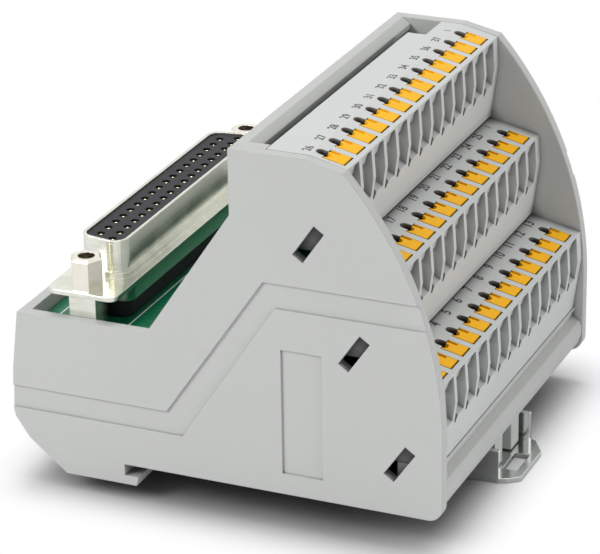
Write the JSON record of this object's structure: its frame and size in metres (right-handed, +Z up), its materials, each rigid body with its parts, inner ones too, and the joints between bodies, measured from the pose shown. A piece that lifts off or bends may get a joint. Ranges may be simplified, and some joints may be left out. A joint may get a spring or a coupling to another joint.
{
  "type": "din rail interface module",
  "caption": "Rail-mounted interface module: D-shaped socket on a board, wired to three stepped tiers of spring terminals with release buttons.",
  "frame": {"origin": "centre of the rail seat: level with the top of the rail flanges, midway between them and midway along the module", "axes": "+X across the rail towards the terminals and the latch, +Y along the rail, +Z up away from the rail"},
  "size_m": [0.0791, 0.072, 0.0647],
  "materials": {
    "housing_grey": "fine matt moulded plastic",
    "terminal_grey": "smooth matt moulded plastic",
    "button_orange": "satin moulded plastic",
    "board_green": "solder resist over glass laminate",
    "socket_black": "moulded insulator",
    "tinned_steel": "bright tin plate",
    "nickel": "bright nickel plate",
    "zinc_steel": "clear zinc plate",
    "spring_steel": "bare spring strip",
    "contact_alloy": "plated copper alloy"
  },
  "bodies": {
    "module": {"side_plate_near": "housing_grey", "side_plate_far": "housing_grey", "housing_base": "housing_grey", "tower_cover": "housing_grey", "terminal_block_top": "terminal_grey", "terminal_block_middle": "terminal_grey", "terminal_block_bottom": "terminal_grey", "clamp_springs": "spring_steel", "contact_bars": "contact_alloy", "terminal_board": "board_green", "main_board": "board_green", "link_header": "socket_black", "socket_front_shell": "tinned_steel", "socket_rear_shell": "tinned_steel", "socket_insulator": "socket_black", "socket_rear_body": "socket_black", "socket_contacts": "contact_alloy", "lock_nuts": "nickel", "flange_brackets": "tinned_steel", "latch_spring": "spring_steel"},
    "latch": {"rail_latch": "zinc_steel"},
    "button_top_01": {"button_top_01": "button_orange"},
    "button_top_02": {"button_top_02": "button_orange"},
    "button_top_03": {"button_top_03": "button_orange"},
    "button_top_04": {"button_top_04": "button_orange"},
    "button_top_05": {"button_top_05": "button_orange"},
    "button_top_06": {"button_top_06": "button_orange"},
    "button_top_07": {"button_top_07": "button_orange"},
    "button_top_08": {"button_top_08": "button_orange"},
    "button_top_09": {"button_top_09": "button_orange"},
    "button_top_10": {"button_top_10": "button_orange"},
    "button_top_11": {"button_top_11": "button_orange"},
    "button_top_12": {"button_top_12": "button_orange"},
    "button_top_13": {"button_top_13": "button_orange"},
    "button_middle_01": {"button_middle_01": "button_orange"},
    "button_middle_02": {"button_middle_02": "button_orange"},
    "button_middle_03": {"button_middle_03": "button_orange"},
    "button_middle_04": {"button_middle_04": "button_orange"},
    "button_middle_05": {"button_middle_05": "button_orange"},
    "button_middle_06": {"button_middle_06": "button_orange"},
    "button_middle_07": {"button_middle_07": "button_orange"},
    "button_middle_08": {"button_middle_08": "button_orange"},
    "button_middle_09": {"button_middle_09": "button_orange"},
    "button_middle_10": {"button_middle_10": "button_orange"},
    "button_middle_11": {"button_middle_11": "button_orange"},
    "button_middle_12": {"button_middle_12": "button_orange"},
    "button_middle_13": {"button_middle_13": "button_orange"},
    "button_bottom_01": {"button_bottom_01": "button_orange"},
    "button_bottom_02": {"button_bottom_02": "button_orange"},
    "button_bottom_03": {"button_bottom_03": "button_orange"},
    "button_bottom_04": {"button_bottom_04": "button_orange"},
    "button_bottom_05": {"button_bottom_05": "button_orange"},
    "button_bottom_06": {"button_bottom_06": "button_orange"},
    "button_bottom_07": {"button_bottom_07": "button_orange"},
    "button_bottom_08": {"button_bottom_08": "button_orange"},
    "button_bottom_09": {"button_bottom_09": "button_orange"},
    "button_bottom_10": {"button_bottom_10": "button_orange"},
    "button_bottom_11": {"button_bottom_11": "button_orange"},
    "button_bottom_12": {"button_bottom_12": "button_orange"},
    "button_bottom_13": {"button_bottom_13": "button_orange"}
  },
  "joints": [
    {"name": "latch_slide", "type": "slide", "parent": "module", "child": "latch", "axis": [1, 0, 0], "range_m": [0, 0.0025], "stiffness_N_per_m": 6000, "springref_m": -0.001, "deforming": ["latch_spring"]},
    {"name": "button_top_01_press", "type": "slide", "parent": "module", "child": "button_top_01", "axis": [-0.225, 0, -0.9744], "range_m": [0, 0.0012], "stiffness_N_per_m": 2000, "springref_m": -0.0005},
    {"name": "button_top_02_press", "type": "slide", "parent": "module", "child": "button_top_02", "axis": [-0.225, 0, -0.9744], "range_m": [0, 0.0012], "stiffness_N_per_m": 2000, "springref_m": -0.0005},
    {"name": "button_top_03_press", "type": "slide", "parent": "module", "child": "button_top_03", "axis": [-0.225, 0, -0.9744], "range_m": [0, 0.0012], "stiffness_N_per_m": 2000, "springref_m": -0.0005},
    {"name": "button_top_04_press", "type": "slide", "parent": "module", "child": "button_top_04", "axis": [-0.225, 0, -0.9744], "range_m": [0, 0.0012], "stiffness_N_per_m": 2000, "springref_m": -0.0005},
    {"name": "button_top_05_press", "type": "slide", "parent": "module", "child": "button_top_05", "axis": [-0.225, 0, -0.9744], "range_m": [0, 0.0012], "stiffness_N_per_m": 2000, "springref_m": -0.0005},
    {"name": "button_top_06_press", "type": "slide", "parent": "module", "child": "button_top_06", "axis": [-0.225, 0, -0.9744], "range_m": [0, 0.0012], "stiffness_N_per_m": 2000, "springref_m": -0.0005},
    {"name": "button_top_07_press", "type": "slide", "parent": "module", "child": "button_top_07", "axis": [-0.225, 0, -0.9744], "range_m": [0, 0.0012], "stiffness_N_per_m": 2000, "springref_m": -0.0005},
    {"name": "button_top_08_press", "type": "slide", "parent": "module", "child": "button_top_08", "axis": [-0.225, 0, -0.9744], "range_m": [0, 0.0012], "stiffness_N_per_m": 2000, "springref_m": -0.0005},
    {"name": "button_top_09_press", "type": "slide", "parent": "module", "child": "button_top_09", "axis": [-0.225, 0, -0.9744], "range_m": [0, 0.0012], "stiffness_N_per_m": 2000, "springref_m": -0.0005},
    {"name": "button_top_10_press", "type": "slide", "parent": "module", "child": "button_top_10", "axis": [-0.225, 0, -0.9744], "range_m": [0, 0.0012], "stiffness_N_per_m": 2000, "springref_m": -0.0005},
    {"name": "button_top_11_press", "type": "slide", "parent": "module", "child": "button_top_11", "axis": [-0.225, 0, -0.9744], "range_m": [0, 0.0012], "stiffness_N_per_m": 2000, "springref_m": -0.0005},
    {"name": "button_top_12_press", "type": "slide", "parent": "module", "child": "button_top_12", "axis": [-0.225, 0, -0.9744], "range_m": [0, 0.0012], "stiffness_N_per_m": 2000, "springref_m": -0.0005},
    {"name": "button_top_13_press", "type": "slide", "parent": "module", "child": "button_top_13", "axis": [-0.225, 0, -0.9744], "range_m": [0, 0.0012], "stiffness_N_per_m": 2000, "springref_m": -0.0005},
    {"name": "button_middle_01_press", "type": "slide", "parent": "module", "child": "button_middle_01", "axis": [-0.225, 0, -0.9744], "range_m": [0, 0.0012], "stiffness_N_per_m": 2000, "springref_m": -0.0005},
    {"name": "button_middle_02_press", "type": "slide", "parent": "module", "child": "button_middle_02", "axis": [-0.225, 0, -0.9744], "range_m": [0, 0.0012], "stiffness_N_per_m": 2000, "springref_m": -0.0005},
    {"name": "button_middle_03_press", "type": "slide", "parent": "module", "child": "button_middle_03", "axis": [-0.225, 0, -0.9744], "range_m": [0, 0.0012], "stiffness_N_per_m": 2000, "springref_m": -0.0005},
    {"name": "button_middle_04_press", "type": "slide", "parent": "module", "child": "button_middle_04", "axis": [-0.225, 0, -0.9744], "range_m": [0, 0.0012], "stiffness_N_per_m": 2000, "springref_m": -0.0005},
    {"name": "button_middle_05_press", "type": "slide", "parent": "module", "child": "button_middle_05", "axis": [-0.225, 0, -0.9744], "range_m": [0, 0.0012], "stiffness_N_per_m": 2000, "springref_m": -0.0005},
    {"name": "button_middle_06_press", "type": "slide", "parent": "module", "child": "button_middle_06", "axis": [-0.225, 0, -0.9744], "range_m": [0, 0.0012], "stiffness_N_per_m": 2000, "springref_m": -0.0005},
    {"name": "button_middle_07_press", "type": "slide", "parent": "module", "child": "button_middle_07", "axis": [-0.225, 0, -0.9744], "range_m": [0, 0.0012], "stiffness_N_per_m": 2000, "springref_m": -0.0005},
    {"name": "button_middle_08_press", "type": "slide", "parent": "module", "child": "button_middle_08", "axis": [-0.225, 0, -0.9744], "range_m": [0, 0.0012], "stiffness_N_per_m": 2000, "springref_m": -0.0005},
    {"name": "button_middle_09_press", "type": "slide", "parent": "module", "child": "button_middle_09", "axis": [-0.225, 0, -0.9744], "range_m": [0, 0.0012], "stiffness_N_per_m": 2000, "springref_m": -0.0005},
    {"name": "button_middle_10_press", "type": "slide", "parent": "module", "child": "button_middle_10", "axis": [-0.225, 0, -0.9744], "range_m": [0, 0.0012], "stiffness_N_per_m": 2000, "springref_m": -0.0005},
    {"name": "button_middle_11_press", "type": "slide", "parent": "module", "child": "button_middle_11", "axis": [-0.225, 0, -0.9744], "range_m": [0, 0.0012], "stiffness_N_per_m": 2000, "springref_m": -0.0005},
    {"name": "button_middle_12_press", "type": "slide", "parent": "module", "child": "button_middle_12", "axis": [-0.225, 0, -0.9744], "range_m": [0, 0.0012], "stiffness_N_per_m": 2000, "springref_m": -0.0005},
    {"name": "button_middle_13_press", "type": "slide", "parent": "module", "child": "button_middle_13", "axis": [-0.225, 0, -0.9744], "range_m": [0, 0.0012], "stiffness_N_per_m": 2000, "springref_m": -0.0005},
    {"name": "button_bottom_01_press", "type": "slide", "parent": "module", "child": "button_bottom_01", "axis": [-0.225, 0, -0.9744], "range_m": [0, 0.0012], "stiffness_N_per_m": 2000, "springref_m": -0.0005},
    {"name": "button_bottom_02_press", "type": "slide", "parent": "module", "child": "button_bottom_02", "axis": [-0.225, 0, -0.9744], "range_m": [0, 0.0012], "stiffness_N_per_m": 2000, "springref_m": -0.0005},
    {"name": "button_bottom_03_press", "type": "slide", "parent": "module", "child": "button_bottom_03", "axis": [-0.225, 0, -0.9744], "range_m": [0, 0.0012], "stiffness_N_per_m": 2000, "springref_m": -0.0005},
    {"name": "button_bottom_04_press", "type": "slide", "parent": "module", "child": "button_bottom_04", "axis": [-0.225, 0, -0.9744], "range_m": [0, 0.0012], "stiffness_N_per_m": 2000, "springref_m": -0.0005},
    {"name": "button_bottom_05_press", "type": "slide", "parent": "module", "child": "button_bottom_05", "axis": [-0.225, 0, -0.9744], "range_m": [0, 0.0012], "stiffness_N_per_m": 2000, "springref_m": -0.0005},
    {"name": "button_bottom_06_press", "type": "slide", "parent": "module", "child": "button_bottom_06", "axis": [-0.225, 0, -0.9744], "range_m": [0, 0.0012], "stiffness_N_per_m": 2000, "springref_m": -0.0005},
    {"name": "button_bottom_07_press", "type": "slide", "parent": "module", "child": "button_bottom_07", "axis": [-0.225, 0, -0.9744], "range_m": [0, 0.0012], "stiffness_N_per_m": 2000, "springref_m": -0.0005},
    {"name": "button_bottom_08_press", "type": "slide", "parent": "module", "child": "button_bottom_08", "axis": [-0.225, 0, -0.9744], "range_m": [0, 0.0012], "stiffness_N_per_m": 2000, "springref_m": -0.0005},
    {"name": "button_bottom_09_press", "type": "slide", "parent": "module", "child": "button_bottom_09", "axis": [-0.225, 0, -0.9744], "range_m": [0, 0.0012], "stiffness_N_per_m": 2000, "springref_m": -0.0005},
    {"name": "button_bottom_10_press", "type": "slide", "parent": "module", "child": "button_bottom_10", "axis": [-0.225, 0, -0.9744], "range_m": [0, 0.0012], "stiffness_N_per_m": 2000, "springref_m": -0.0005},
    {"name": "button_bottom_11_press", "type": "slide", "parent": "module", "child": "button_bottom_11", "axis": [-0.225, 0, -0.9744], "range_m": [0, 0.0012], "stiffness_N_per_m": 2000, "springref_m": -0.0005},
    {"name": "button_bottom_12_press", "type": "slide", "parent": "module", "child": "button_bottom_12", "axis": [-0.225, 0, -0.9744], "range_m": [0, 0.0012], "stiffness_N_per_m": 2000, "springref_m": -0.0005},
    {"name": "button_bottom_13_press", "type": "slide", "parent": "module", "child": "button_bottom_13", "axis": [-0.225, 0, -0.9744], "range_m": [0, 0.0012], "stiffness_N_per_m": 2000, "springref_m": -0.0005}
  ]
}
